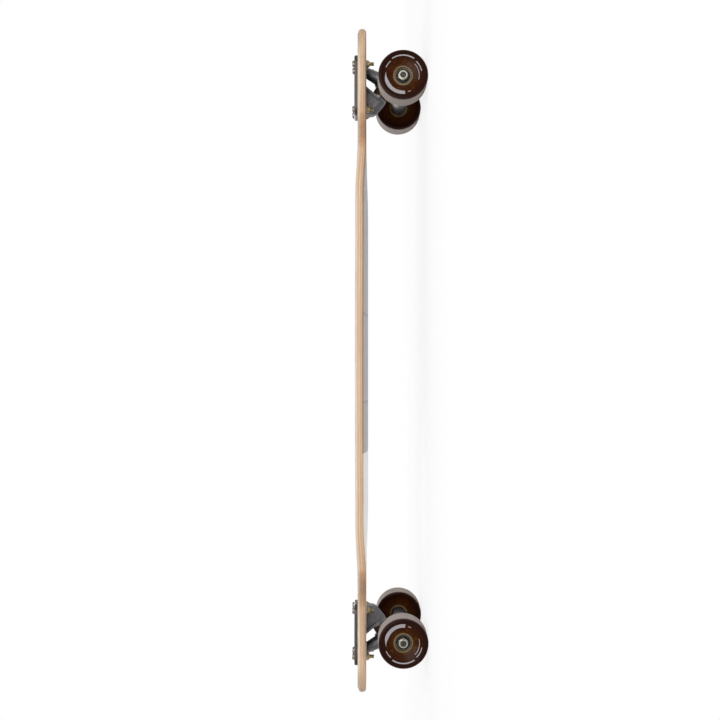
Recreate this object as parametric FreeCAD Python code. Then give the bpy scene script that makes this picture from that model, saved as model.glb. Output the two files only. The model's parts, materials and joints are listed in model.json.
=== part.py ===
import FreeCAD, Part
import math
import os

from FreeCAD import Placement, Rotation, Vector

# Drop-through longboard skateboard, in millimetres.
# +X is the riding direction, +Y the rider's left side, +Z up.
# The origin lies on the ground under the middle of the board.

# Layout of the board
truck_spacing = 761.0           # between the middles of the two mounting-bolt patterns
overrun = 6.0                   # how far a cut runs past what it cuts
rounded_side_share = 0.9        # most of a side that the arcs at its two corners may use up
press_gap = 0.02                # radial gap of pieces that are pressed or cast together
running_gap = 0.05              # radial gap of pieces that turn on each other

# Deck: laminated wood with concave, a low rocker and wheel cut-outs
deck_overhang = 83.3            # from the middle of the bolt pattern to the tip
deck_width = 213.0
deck_thickness = 11.0
deck_edge_radius = 4.8
rail_rise = 4.3                 # rails above the truck platforms, at mid board
rocker_drop = 2.9               # centre line below the truck platforms, at mid board
concave_near = 70.0             # from the bolt pattern inboard to where the rails start to rise
concave_far = 177.0             # from the bolt pattern inboard to where the concave is full
platform_reach = 45.0           # from the bolt pattern inboard to the end of the flat truck platform
rocker_near = 52.0              # from the bolt pattern inboard to where the rocker starts
rocker_far = 201.0              # from the bolt pattern inboard to where the rocker is full
shape_stations = 36             # spans of the deck surface along its length
side_taper = 1.6                # how far each side leans in towards the ends, in degrees
waist_radius = 3500.0
shoulder_setback = 89.0         # from the bolt pattern inboard to the corners beside the wheels
shoulder_radius = 26.0
neck_width = 124.0              # deck width between the wheels
neck_setback = 56.0             # from the bolt pattern inboard to the inner end of the neck
neck_reach = 18.0               # from the bolt pattern outboard to the outer end of the neck
neck_radius = 34.0
neck_flare_radius = 70.0
nose_width = 148.0              # between the corners of the nose, before they are rounded
nose_sweep = 18.0               # how far each half of the nose leans back, in degrees
nose_corner_radius = 40.0
nose_tip_radius = 90.0
slot_width = 28.4               # drop-through slot round the baseplate
slot_gap = 1.2                  # between the slot's ends and the baseplate
slot_corner_radius = 3.2

# Grip: clear grit sheet on the top of the deck
grip_thickness = 0.8
grip_inset = 5.5                # from the edge of the deck
grip_window_gap = 2.0           # round each baseplate
glue_line = 0.05

# Mounting bolts: standard pattern with one spare pair of holes
bolt_pattern_length = 63.5
bolt_pattern_short = 53.98      # the shorter standard pattern, whose inner holes stay free
bolt_pattern_width = 41.3
bolt_diameter = 4.76
bolt_hole_diameter = 5.4
bolt_head_diameter = 9.2
bolt_head_height = 3.0
bolt_socket_flats = 3.2
bolt_socket_depth = 1.8
bolt_tip_reach = 6.0            # past the nut
bolt_nut_flats = 9.5
bolt_nut_height = 4.8

# Truck geometry
pivot_angle = 50.0              # between the pivot axis and the deck, in degrees
ring_offset = 1.5               # hanger ring outboard of the middle of the bolt pattern
ring_below_deck = 39.55         # hanger ring below the top of the deck
axle_beyond_ring = 20.6         # axle past the ring, along the pivot axis
axle_rake = 6.0                 # axle off the pivot axis, towards the kingpin nut
seat_above_ring = 17.5          # kingpin seat of the baseplate to the pivot axis

# Baseplate
flange_inboard = 40.0           # from the middle of the bolt pattern
flange_outboard = 44.5
flange_width = 58.0
flange_thickness = 5.5
flange_corner_radius = 12.0
flange_edge_radius = 1.5
tower_wall_inboard = 36.5       # inner wall of the kingpin tower, from the middle of the bolt pattern
tower_corner_radius = 10.0
tower_rim = 3.4                 # left standing round the hollow in each side of the tower
tower_hollow_depth = 1.4
seat_radius = 13.0
housing_radius = 9.8            # round housing of the pivot cup
housing_mouth = 41.0            # from the ring to the mouth of the housing, along the pivot axis
housing_trim = 3.0              # end of the housing short of the flange's end
cup_outer_radius = 7.2
cup_depth = 9.6

# Kingpin and bushings
kingpin_diameter = 9.52
kingpin_press_diameter = 11.0   # the part that is pressed into the tower
kingpin_press_depth = 22.0      # and how deep it goes in from the bushing seat
kingpin_nut_flats = 14.3
kingpin_tip_reach = 2.5         # past its nut
kingpin_nut_height = 9.0
bushing_radius = 12.0
bushing_height_roadside = 12.4
bushing_bore_gap = 0.35
bushing_bulge = 1.2             # how far a bushing bulges past its rims
roadside_cone_share = 0.82      # outer end of the roadside bushing against its inner end
washer_radius = 12.4
washer_thickness = 1.2

# Hanger
ring_radius = 16.0
ring_half_height = 7.5
ring_edge_radius = 1.6
ring_web = 6.0                  # wall between the two bushing cups
bushing_cup_gap = 0.4
kingpin_hole_radius = 7.2
washer_relief_at = 9.5          # hanger is cut back round the roadside washer, from here on
washer_relief = 4.0             # and by this much
nose_root_reach = 6.0           # first section of the nose, from the ring along the pivot axis
nose_root_drop = 5.8            # its middle below the pivot axis
nose_root_radius = 10.4
nose_middle_reach = 25.0
nose_middle_drop = 2.2
nose_middle_radius = 8.6
nose_end_reach = 38.0
nose_end_drop = -0.8
nose_end_radius = 7.2
pivot_radius = 5.7
pivot_tip_gap = 0.6             # between the pivot's tip and the bottom of its cup
hanger_width = 180.0
housing_end_radius = 9.2
housing_mid_radius = 11.6
housing_taper_end = 62.0        # from the middle to where the axle housing is straight
wing_reach = 68.0               # from the middle to the tips of the wings
wing_root_front = 12.0          # middle of the wings past the ring, along the pivot axis
wing_root_back = 28.0           # and on the other side of the ring
wing_root_top = 6.2             # above the pivot axis
wing_root_bottom = 7.6          # below the pivot axis
wing_root_corner = 5.0
wing_tip_depth = 10.0           # along the pivot axis
wing_tip_thickness = 9.0
wing_tip_corner = 3.0

# Axle and its hardware
axle_diameter = 7.94
axle_tip_reach = 1.0            # past the axle nut
axle_chamfer = 0.8
axle_nut_flats = 12.7
axle_nut_height = 7.5
speed_washer_radius = 5.5
speed_washer_thickness = 1.0

# Nuts and hexagon heads
nut_collar_share = 0.86         # radius of the locking collar against half the flats
nut_collar_height_share = 0.28
hex_chamfer_share = 0.10        # chamfer of a hexagon against its flats

# Wheel
wheel_diameter = 66.0
wheel_width = 44.0
lip_radius = 3.2
hub_ring_radius = 13.4
hub_ring_reach = 15.0           # ends of the core from the wheel's middle
face_depth = 6.6                # dish of the wheel's face at the hub ring
face_bow = 1.0                  # how far the dish is hollow against a straight cone
core_web_radius = 19.0
core_web_width = 16.0
core_lip_radius = 9.8           # shoulder between the bearings

# Bearing
bearing_diameter = 22.0
bearing_bore = 8.0
bearing_width = 7.0
bearing_spacer_length = 10.0
spacer_wall = 1.5
ball_diameter = 3.97
ball_count = 7
race_shoulder_share = 0.42      # race shoulders off the pitch circle, against the ball
shield_seat_depth = 0.6
shield_seat_step = 0.4
shield_thickness = 0.35
shield_gap = 0.25
cage_wall = 1.6
cage_back = 2.7                 # from the ball's middle to the back of the cage
cage_front = 0.8
cage_pocket_gap = 0.1
cage_pocket_start_share = 0.5   # pockets are bored outwards from here, against the pitch radius

# Places worked out from the sizes above
pattern_x = truck_spacing / 2
wheel_radius = wheel_diameter / 2
steer_sine = math.sin(math.radians(pivot_angle))
steer_cosine = math.cos(math.radians(pivot_angle))
ring_x = pattern_x + ring_offset
ring_z = wheel_radius + axle_beyond_ring * steer_sine + axle_rake * steer_cosine
axle_x = ring_x - axle_beyond_ring * steer_cosine + axle_rake * steer_sine
axle_z = wheel_radius
deck_top = ring_z + ring_below_deck
deck_bottom = deck_top - deck_thickness
flange_top = deck_top + flange_thickness
tip_x = pattern_x + deck_overhang
platform_start = pattern_x - platform_reach
blank_side = deck_width / 2 + overrun
shoulder_y = hanger_width / 2
bearing_start = shoulder_y + speed_washer_thickness
bearing_stack = 2 * bearing_width + bearing_spacer_length
wheel_y = bearing_start + bearing_stack / 2
nut_start = bearing_start + bearing_stack + speed_washer_thickness
axle_half = nut_start + axle_nut_height + axle_tip_reach
cup_floor = ring_web / 2
bushing_height_boardside = seat_above_ring - washer_thickness - cup_floor
roadside_washer_at = cup_floor + bushing_height_roadside
kingpin_nut_at = roadside_washer_at + washer_thickness
kingpin_end = kingpin_nut_at + kingpin_nut_height + kingpin_tip_reach
cup_end = housing_mouth + cup_depth
pivot_tip = cup_end - pivot_tip_gap

# In the steering frame X runs up the pivot axis to its tip, Y across the board, and Z up the kingpin.
# Its origin is the middle of the hanger's ring.
steering = Placement(Vector(ring_x, 0, ring_z), Rotation(Vector(0, 1, 0), -pivot_angle))
half_turn = Placement(Vector(0, 0, 0), Rotation(Vector(0, 0, 1), 180))
origin = Vector(0, 0, 0)
along_x = Vector(1, 0, 0)
along_y = Vector(0, 1, 0)
along_z = Vector(0, 0, 1)


def moved(shape, *shift):
    """A copy of a shape, moved by a vector given as x, y, z."""
    copy = shape.copy()
    copy.translate(Vector(*shift))
    return copy


def steered(shape):
    """A shape made in the steering frame, put in its place on the front truck."""
    return shape.transformed(steering.toMatrix())


def rounded_face(corners):
    """Flat face whose corners (x, y, radius) are rounded by tangent arcs.

    Where two arcs would use up the side between them, both become smaller and leave some of it straight.
    """
    points = [Vector(x, y, 0) for x, y, radius in corners]
    count = len(points)
    sides = [points[(i + 1) % count] - points[i] for i in range(count)]
    halves = [sides[i].getAngle(-sides[i - 1]) / 2 for i in range(count)]
    tangents = [corners[i][2] / math.tan(halves[i]) for i in range(count)]
    limits = []
    for i in range(count):
        used = tangents[i] + tangents[(i + 1) % count]
        limits.append(min(1, sides[i].Length * rounded_side_share / max(used, press_gap)))
    edges = []
    starts = []
    ends = []
    for i in range(count):
        ahead = sides[i].normalize()
        back = (points[i - 1] - points[i]).normalize()
        tangent = tangents[i] * min(limits[i - 1], limits[i])
        starts.append(points[i] + back * tangent)
        ends.append(points[i] + ahead * tangent)
        if tangent > 0:
            inset = tangent / math.cos(halves[i]) - tangent * math.tan(halves[i])
            middle = points[i] + (back + ahead).normalize() * inset
            edges.append(Part.Arc(starts[i], middle, ends[i]).toShape())
    for i in range(count):
        following = starts[(i + 1) % count]
        if ends[i].distanceToPoint(following) > press_gap:
            edges.append(Part.LineSegment(ends[i], following).toShape())
    return Part.Face(Part.Wire(Part.sortEdges(edges)[0]))


def upright(face, width):
    """A face drawn in x and z, made a prism that lies evenly on both sides of the middle plane."""
    standing = face.copy()
    standing.rotate(origin, along_x, 90)
    standing.translate(Vector(0, -width / 2, 0))
    return standing.extrude(Vector(0, width, 0))


def turned(face, axis):
    """A face in the XY plane, turned once round an axis through the origin."""
    return face.revolve(origin, axis, 360)


def line(*numbers):
    """Straight edge in the XY plane from x, y to x, y."""
    x_start, y_start, x_end, y_end = numbers
    return Part.LineSegment(Vector(x_start, y_start, 0), Vector(x_end, y_end, 0)).toShape()


def outline_face(points):
    """Flat face with straight sides through points (x, y)."""
    corners = [Vector(x, y, 0) for x, y in points]
    return Part.Face(Part.makePolygon(corners + corners[:1]))


def ring(outer, inner, start, length, axis=along_z):
    """Round tube along an axis through the origin, from start, with the given length."""
    tube = Part.makeCylinder(outer, length, axis * start, axis)
    return tube.cut(Part.makeCylinder(inner, length, axis * start, axis))


def hexagon(flats, start, length, axis=along_z, chamfered=True):
    """Hexagon prism along an axis, with its free end chamfered as on a bolt head or a nut."""
    corner = flats / math.sqrt(3)
    turns = [math.pi * i / 3 for i in range(7)]
    points = [Vector(corner * math.cos(turn), corner * math.sin(turn), 0) for turn in turns]
    prism = Part.Face(Part.makePolygon(points)).extrude(Vector(0, 0, length))
    if chamfered:
        chamfer = flats * hex_chamfer_share
        cone = Part.makeCone(corner + length - chamfer, corner - chamfer, length)
        prism = prism.common(cone)
    prism.Placement = Placement(axis * start, Rotation(along_z, axis))
    return prism


def lock_nut(flats, bore, start, length, axis=along_z):
    """Hexagon nut with a round locking collar at its free end."""
    collar = length * nut_collar_height_share
    body = hexagon(flats, start, length - collar, axis)
    body = body.fuse(Part.makeCylinder(flats / 2 * nut_collar_share, length, axis * start, axis))
    return body.cut(Part.makeCylinder(bore, length, axis * start, axis)).removeSplitter()


# Deck surface and outline

def smooth_step(distance, near, far):
    """0 up to near, 1 past far, and a curve without a kink between them."""
    share = min(max((distance - near) / (far - near), 0), 1)
    return share ** 3 * (share * (share * 6 - 15) + 10)


def deck_height(x, y):
    """Height of the deck against its truck platforms: a parabola across, which fades out at the trucks."""
    inboard = pattern_x - abs(x)
    drop = rocker_drop * smooth_step(inboard, rocker_near, rocker_far)
    concave = (rocker_drop + rail_rise) * smooth_step(inboard, concave_near, concave_far)
    return concave * (2 * y / deck_width) ** 2 - drop


def deck_face():
    """Curved middle of the deck: cubic along the board, a parabola across it.

    Its poles hang on the height formula, and those next to the truck platforms are level with them.
    """
    step = 2 * platform_start / shape_stations
    knots = [-platform_start + step * i for i in range(shape_stations + 1)]
    padded = [knots[0]] * 3 + knots + [knots[-1]] * 3
    poles = []
    for i in range(shape_stations + 3):
        x = sum(padded[i + 1:i + 4]) / 3
        middle = deck_height(x, 0)
        rail = deck_height(x, blank_side)
        poles.append([
            Vector(x, -blank_side, rail),
            Vector(x, 0, 2 * middle - rail),
            Vector(x, blank_side, rail),
        ])
    surface = Part.BSplineSurface()
    end = [4]
    inner = [1] * (shape_stations - 1)
    surface.buildFromPolesMultsKnots(poles, end + inner + end, [3, 3], knots, [0, 1], False, False, 3, 2)
    return surface.toShape()


def pressed_sheet(base, thickness):
    """Sheet with the deck's shape: a curved middle between two flat truck platforms."""
    curved = deck_face().extrude(Vector(0, 0, thickness))
    length = deck_overhang + platform_reach + overrun
    platform = Part.makeBox(length, 2 * blank_side, thickness, Vector(platform_start, -blank_side, 0))
    return moved(curved.fuse(both_ends(platform)), 0, 0, base)


def deck_outline():
    """Plan of the board: waist, shoulders, necks between the wheels, and two round ends."""
    taper = math.radians(side_taper)
    sweep = math.radians(nose_sweep)
    half_neck = neck_width / 2
    half_nose = nose_width / 2
    waist = deck_width / 2 + waist_radius * (1 / math.cos(taper) - 1)
    shoulder_x = pattern_x - shoulder_setback
    tip = tip_x + nose_tip_radius * (1 / math.cos(sweep) - 1)
    quadrant = [
        (shoulder_x, waist - shoulder_x * math.tan(taper), shoulder_radius),
        (pattern_x - neck_setback, half_neck, neck_radius),
        (pattern_x + neck_reach, half_neck, neck_flare_radius),
        (tip - half_nose * math.tan(sweep), half_nose, nose_corner_radius),
    ]
    corners = [(0, waist, waist_radius)]
    corners += quadrant
    corners += [(tip, 0, nose_tip_radius)]
    corners += [(x, -y, r) for x, y, r in reversed(quadrant)]
    corners += [(0, -waist, waist_radius)]
    corners += [(-x, -y, r) for x, y, r in quadrant]
    corners += [(-tip, 0, nose_tip_radius)]
    corners += [(-x, y, r) for x, y, r in reversed(quadrant)]
    return rounded_face(corners)


def box_corners(x_low, x_high, width, radius):
    """Corners of a rectangle that lies evenly on both sides of the middle plane."""
    half = width / 2
    return [(x_low, -half, radius), (x_high, -half, radius), (x_high, half, radius), (x_low, half, radius)]


def both_ends(shape):
    """A shape on the front truck and the same shape on the rear truck."""
    return [shape, shape.transformed(half_turn.toMatrix())]


def bolt_places(pattern_ends):
    """Places (x, y) of bolts on the front truck, for distances from the middle of the pattern."""
    half = bolt_pattern_width / 2
    return [(pattern_x + end, side * half) for end in pattern_ends for side in (-1, 1)]


outer_bolt = bolt_pattern_length / 2
used_bolts = bolt_places([-outer_bolt, outer_bolt])
spare_bolts = bolt_places([outer_bolt - bolt_pattern_short])
slot_start = pattern_x - tower_wall_inboard - slot_gap
slot_end = pattern_x + flange_outboard - housing_trim + slot_gap


def make_deck():
    """Pressed blank cut to its outline, with rounded edges, slots and bolt holes."""
    depth = deck_thickness + rail_rise + rocker_drop + 2 * overrun
    low = deck_bottom - rocker_drop - overrun
    plan = moved(deck_outline().extrude(Vector(0, 0, depth)), 0, 0, low)
    board = pressed_sheet(deck_bottom, deck_thickness).common(plan).Solids[0]
    walls = [face for face in board.Faces if abs(face.normalAt(0, 0).z) < steer_cosine]
    rims = [edge for face in walls for edge in face.Edges if edge.BoundBox.XLength > press_gap]
    board = board.makeFillet(deck_edge_radius, rims)
    slot = rounded_face(box_corners(slot_start, slot_end, slot_width, slot_corner_radius))
    cuts = [moved(slot.extrude(Vector(0, 0, depth)), 0, 0, low)]
    for x, y in used_bolts + spare_bolts:
        cuts.append(Part.makeCylinder(bolt_hole_diameter / 2, depth, Vector(x, y, low)))
    return board.cut([end for cut in cuts for end in both_ends(cut)])


def make_grip():
    """Thin sheet that follows the top of the deck, inset from its edge, open round the baseplates."""
    sheet = pressed_sheet(deck_top + glue_line, grip_thickness)
    depth = rail_rise + rocker_drop + grip_thickness + 2 * overrun
    low = deck_top - rocker_drop - overrun
    plan = deck_outline().makeOffset2D(-grip_inset)
    plan = moved(plan.extrude(Vector(0, 0, depth)), 0, 0, low)
    window = rounded_face(box_corners(
        pattern_x - flange_inboard - grip_window_gap,
        pattern_x + flange_outboard + grip_window_gap,
        flange_width + 2 * grip_window_gap,
        flange_corner_radius + grip_window_gap,
    ))
    window = moved(window.extrude(Vector(0, 0, depth)), 0, 0, low)
    return sheet.common(plan).cut(both_ends(window))


# Baseplate and what is fixed to it

def make_baseplate():
    """Casting: flange on the deck, kingpin tower and pivot housing hanging through the slot."""
    flange = rounded_face(box_corners(
        pattern_x - flange_inboard, pattern_x + flange_outboard, flange_width, flange_corner_radius,
    )).extrude(Vector(0, 0, flange_thickness))
    flange.translate(Vector(0, 0, deck_top))
    rim = [edge for edge in flange.Edges if edge.BoundBox.ZMin > flange_top - press_gap]
    flange = flange.makeFillet(flange_edge_radius, rim)

    # Tower: drawn in x and z, with the seat square to the kingpin
    inner_wall = pattern_x - tower_wall_inboard
    seat_corner = steering.multVec(Vector(-seat_radius, 0, seat_above_ring))
    roof = deck_top + flange_thickness / 2
    back_drop = (seat_corner.x - inner_wall) / steer_sine * steer_cosine
    seat_roof = seat_corner.x + (roof - seat_corner.z) / steer_sine * steer_cosine
    side = rounded_face([
        (inner_wall, roof, 0),
        (inner_wall, seat_corner.z + back_drop, tower_corner_radius),
        (seat_corner.x, seat_corner.z, 0),
        (seat_roof, roof, 0),
    ])
    hollow = side.makeOffset2D(-tower_rim)
    tower = upright(side, 2 * seat_radius)
    tower_length = 2 * flange_inboard + seat_above_ring
    round_seat = Part.makeCylinder(seat_radius, tower_length)
    square_seat = Part.makeBox(tower_length, 2 * seat_radius, tower_length, Vector(0, -seat_radius, 0))
    tower = tower.common(steered(round_seat.fuse(square_seat)))
    middle_wall = upright(hollow, 2 * (seat_radius - tower_hollow_depth))
    tower = tower.cut(upright(hollow, 2 * seat_radius).cut(middle_wall))

    # Housing of the pivot cup: round along the pivot axis, cut off short of the flange's end
    housing_length = 2 * flange_outboard
    housing = steered(Part.makeCylinder(housing_radius, housing_length, along_x * housing_mouth, along_x))
    room = Part.makeBox(
        flange_inboard + flange_outboard - housing_trim, flange_width, housing_length,
        Vector(pattern_x - flange_inboard, -flange_width / 2, roof - housing_length),
    )
    housing = housing.common(room)

    casting = flange.fuse([tower, housing])
    cup_bore = Part.makeCylinder(cup_outer_radius + press_gap, cup_depth, along_x * housing_mouth, along_x)
    kingpin_bore = Part.makeCylinder(
        kingpin_press_diameter / 2 + press_gap, seat_above_ring + kingpin_press_depth,
    )
    cuts = [steered(cut) for cut in (cup_bore, kingpin_bore)]
    for x, y in used_bolts + spare_bolts:
        cuts.append(Part.makeCylinder(bolt_hole_diameter / 2, flange_thickness, Vector(x, y, deck_top)))
    return casting.cut(cuts).removeSplitter()


def make_pivot_cup():
    """Urethane cup, pressed into its housing, that the hanger's pivot turns in."""
    cup = Part.makeCylinder(cup_outer_radius, cup_depth, along_x * housing_mouth, along_x)
    return steered(cup.cut(pivot_form(running_gap + press_gap)))


def make_kingpin():
    """Stud through bushings and ring, pressed with its thicker end into the tower."""
    shank = Part.makeCylinder(
        kingpin_diameter / 2, seat_above_ring + kingpin_end, along_z * -kingpin_end,
    )
    tip = [edge for edge in shank.Edges if edge.BoundBox.ZMax < -kingpin_end + press_gap]
    shank = shank.makeChamfer(axle_chamfer, tip)
    pressed = Part.makeCylinder(kingpin_press_diameter / 2, kingpin_press_depth, along_z * seat_above_ring)
    return steered(shank.fuse(pressed).removeSplitter())


def make_kingpin_nut():
    """Lock nut at the free end of the kingpin."""
    nut = lock_nut(
        kingpin_nut_flats, kingpin_diameter / 2 + press_gap, kingpin_nut_at, kingpin_nut_height, -along_z,
    )
    return steered(nut)


def bushing(low, high, low_radius, high_radius):
    """Urethane bushing round the kingpin, bulged between its rims."""
    bore = kingpin_diameter / 2 + bushing_bore_gap
    belly = (low_radius + high_radius) / 2
    profile = Part.Wire([
        line(bore, low, low_radius - bushing_bulge, low),
        Part.Arc(
            Vector(low_radius - bushing_bulge, low, 0),
            Vector(belly, (low + high) / 2, 0),
            Vector(high_radius - bushing_bulge, high, 0),
        ).toShape(),
        line(high_radius - bushing_bulge, high, bore, high),
        line(bore, high, bore, low),
    ])
    solid = turned(Part.Face(profile), along_y)
    solid.rotate(origin, along_x, 90)
    return steered(solid)


def make_boardside_bushing():
    """Barrel bushing between the baseplate's seat and the hanger's ring."""
    return bushing(cup_floor, cup_floor + bushing_height_boardside, bushing_radius, bushing_radius)


def make_roadside_bushing():
    """Cone bushing between the hanger's ring and the kingpin nut."""
    end_radius = bushing_radius * roadside_cone_share
    return bushing(-roadside_washer_at, -cup_floor, end_radius, bushing_radius)


def make_bushing_washers():
    """Steel washers at the outer ends of the two bushings."""
    bore = kingpin_diameter / 2 + press_gap
    boardside = ring(washer_radius, bore, seat_above_ring - washer_thickness, washer_thickness)
    roadside = ring(washer_radius, bore, -kingpin_nut_at, washer_thickness)
    return Part.makeCompound([steered(boardside), steered(roadside)])


def make_mounting_bolts():
    """Four bolts with round heads and hexagon sockets, from the flange through the deck."""
    length = flange_thickness + deck_thickness + bolt_nut_height + bolt_tip_reach
    head = Part.makeCylinder(bolt_head_diameter / 2, bolt_head_height)
    crown = [edge for edge in head.Edges if edge.BoundBox.ZMin > bolt_head_height - press_gap]
    head = head.makeFillet(bolt_head_height / 2, crown)
    head = head.cut(hexagon(
        bolt_socket_flats, bolt_head_height - bolt_socket_depth, bolt_socket_depth, along_z, False))
    bolt = head.fuse(Part.makeCylinder(bolt_diameter / 2, length, along_z * -length)).removeSplitter()
    return Part.makeCompound([moved(bolt, x, y, flange_top) for x, y in used_bolts])


def make_mounting_nuts():
    """Four lock nuts under the deck."""
    nut = lock_nut(bolt_nut_flats, bolt_diameter / 2 + press_gap, 0, bolt_nut_height, -along_z)
    return Part.makeCompound([moved(nut, x, y, deck_bottom) for x, y in used_bolts])


# Hanger, axle and what stays on them

def pivot_form(gap):
    """Round-ended pivot at the tip of the hanger's nose, grown by a gap."""
    round_start = pivot_tip - pivot_radius
    end = pivot_tip + gap
    radius = pivot_radius + gap
    middle = radius * math.sqrt(0.5)
    profile = Part.Wire([
        line(nose_middle_reach, 0, nose_middle_reach, radius),
        line(nose_middle_reach, radius, round_start, radius),
        Part.Arc(
            Vector(round_start, radius, 0),
            Vector(round_start + middle, middle, 0),
            Vector(end, 0, 0),
        ).toShape(),
        line(end, 0, nose_middle_reach, 0),
    ])
    return turned(Part.Face(profile), along_x)


def hanger_nose():
    """Arm from the ring to the pivot: round sections that rise to the pivot axis and become thinner."""
    sections = [
        (nose_root_reach, nose_root_drop, nose_root_radius),
        (nose_middle_reach, nose_middle_drop, nose_middle_radius),
        (nose_end_reach, nose_end_drop, nose_end_radius),
    ]
    rims = [
        Part.Wire(Part.makeCircle(radius, Vector(reach, 0, -drop), along_x))
        for reach, drop, radius in sections
    ]
    return Part.makeLoft(rims, True)


def wing_section(y, low, high, corner):
    """Wire round one section of a wing, at y across the board, between two corners (x, z)."""
    face = rounded_face([
        (low[0], low[1], corner),
        (high[0], low[1], corner),
        (high[0], high[1], corner),
        (low[0], high[1], corner),
    ])
    face.rotate(origin, along_x, 90)
    face.translate(Vector(0, y, 0))
    return face.OuterWire


def hanger_wings():
    """Two wings, thick at the ring and thin at their tips on the axle housing."""
    root = ((-wing_root_back, -wing_root_bottom), (wing_root_front, wing_root_top), wing_root_corner)
    tip = (
        (-axle_beyond_ring - wing_tip_depth / 2, -axle_rake - wing_tip_thickness / 2),
        (-axle_beyond_ring + wing_tip_depth / 2, -axle_rake + wing_tip_thickness / 2),
        wing_tip_corner,
    )
    return [
        Part.makeLoft([wing_section(0, *root), wing_section(side * wing_reach, *tip)], True, True)
        for side in (-1, 1)
    ]


def make_hanger():
    """Casting: ring for the bushings, nose with the pivot, axle housing and two wings."""
    eye = Part.makeCylinder(ring_radius, 2 * ring_half_height, along_z * -ring_half_height)
    eye = eye.makeFillet(ring_edge_radius, [edge for edge in eye.Edges if edge.BoundBox.ZLength < press_gap])

    # Axle housing: thickest in the middle, tapered along an arc, straight at its ends
    half = hanger_width / 2
    profile = Part.Wire([
        line(0, -half, housing_end_radius, -half),
        line(housing_end_radius, -half, housing_end_radius, -housing_taper_end),
        Part.Arc(
            Vector(housing_end_radius, -housing_taper_end, 0),
            Vector(housing_mid_radius, 0, 0),
            Vector(housing_end_radius, housing_taper_end, 0),
        ).toShape(),
        line(housing_end_radius, housing_taper_end, housing_end_radius, half),
        line(housing_end_radius, half, 0, half),
        line(0, half, 0, -half),
    ])
    housing = moved(turned(Part.Face(profile), along_y), -axle_beyond_ring, 0, -axle_rake)

    casting = eye.fuse([pivot_form(0), hanger_nose(), housing] + hanger_wings())
    cup = bushing_radius + bushing_cup_gap
    reach = seat_above_ring + roadside_washer_at
    cuts = [
        Part.makeCylinder(cup, reach, along_z * cup_floor),
        Part.makeCylinder(cup, reach, along_z * (-cup_floor - reach)),
        Part.makeCylinder(washer_radius + washer_relief, reach, along_z * (-washer_relief_at - reach)),
        Part.makeCylinder(kingpin_hole_radius, 2 * reach, along_z * -reach),
        Part.makeCylinder(
            axle_diameter / 2 + press_gap, hanger_width,
            Vector(-axle_beyond_ring, -hanger_width / 2, -axle_rake), along_y,
        ),
    ]
    return steered(casting.cut(cuts).removeSplitter())


def make_axle():
    """Steel rod through the hanger, chamfered at both ends."""
    rod = Part.makeCylinder(axle_diameter / 2, 2 * axle_half, Vector(axle_x, -axle_half, axle_z), along_y)
    ends = [edge for edge in rod.Edges if edge.BoundBox.YLength < press_gap]
    return rod.makeChamfer(axle_chamfer, ends)


def on_both_sides(shape):
    """A shape made for the left end of the axle, and its twin on the right end."""
    left = moved(shape, axle_x, 0, axle_z)
    right = moved(shape.transformed(half_turn.toMatrix()), axle_x, 0, axle_z)
    return [left, right]


def make_axle_nuts():
    """Lock nuts at the two ends of the axle."""
    nut = lock_nut(axle_nut_flats, axle_diameter / 2 + press_gap, nut_start, axle_nut_height, along_y)
    return Part.makeCompound(on_both_sides(nut))


def make_speed_washers():
    """Four thin washers, one against each side of the two bearing stacks."""
    washers = []
    for start in (shoulder_y, nut_start - speed_washer_thickness):
        washers += on_both_sides(ring(
            speed_washer_radius, axle_diameter / 2 + press_gap, start, speed_washer_thickness, along_y))
    return Part.makeCompound(washers)


# Wheel, made about the origin with its axle along Y and its outer face towards +Y

def mirrored_wire(half_profile):
    """Closed wire from the edges of the upper half of a profile, mirrored at the wheel's middle plane."""
    mirror = [edge.mirror(origin, along_y) for edge in half_profile]
    return Part.Wire(Part.sortEdges(half_profile + mirror)[0])


def core_form(gap):
    """Core of the wheel without its bearing seats, grown by a gap."""
    outline = outline_face([
        (0, -hub_ring_reach - gap),
        (hub_ring_radius + gap, -hub_ring_reach - gap),
        (hub_ring_radius + gap, -core_web_width / 2 - gap),
        (core_web_radius + gap, -core_web_width / 2 - gap),
        (core_web_radius + gap, core_web_width / 2 + gap),
        (hub_ring_radius + gap, core_web_width / 2 + gap),
        (hub_ring_radius + gap, hub_ring_reach + gap),
        (0, hub_ring_reach + gap),
    ])
    return turned(outline, along_y)


def make_tyre():
    """Poured urethane: flat tread, rounded lips and dished faces, cast round the core."""
    half = wheel_width / 2
    rim = wheel_radius - lip_radius
    hub = half - face_depth
    lip = lip_radius * math.sqrt(0.5)
    face_middle = (hub_ring_radius + rim) / 2
    profile = mirrored_wire([
        line(0, hub, hub_ring_radius, hub),
        Part.Arc(
            Vector(hub_ring_radius, hub, 0),
            Vector(face_middle, (hub + half) / 2 - face_bow, 0),
            Vector(rim, half, 0),
        ).toShape(),
        Part.Arc(
            Vector(rim, half, 0),
            Vector(rim + lip, half - lip_radius + lip, 0),
            Vector(wheel_radius, half - lip_radius, 0),
        ).toShape(),
        line(wheel_radius, half - lip_radius, wheel_radius, 0),
        line(0, hub, 0, 0),
    ])
    bore = Part.makeCylinder(hub_ring_radius + press_gap, wheel_width, along_y * -half, along_y)
    return turned(Part.Face(profile), along_y).cut([core_form(press_gap), bore])


def make_core():
    """Stiff core: hub rings round two bearing seats, a shoulder between them and a web in the tyre."""
    shoulder = bearing_spacer_length / 2
    seat = bearing_diameter / 2 + press_gap
    cuts = [Part.makeCylinder(core_lip_radius, wheel_width, along_y * (-wheel_width / 2), along_y)]
    for side in (-1, 1):
        cuts.append(Part.makeCylinder(seat, hub_ring_reach, along_y * (side * shoulder), along_y * side))
    return core_form(0).cut(cuts)


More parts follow.
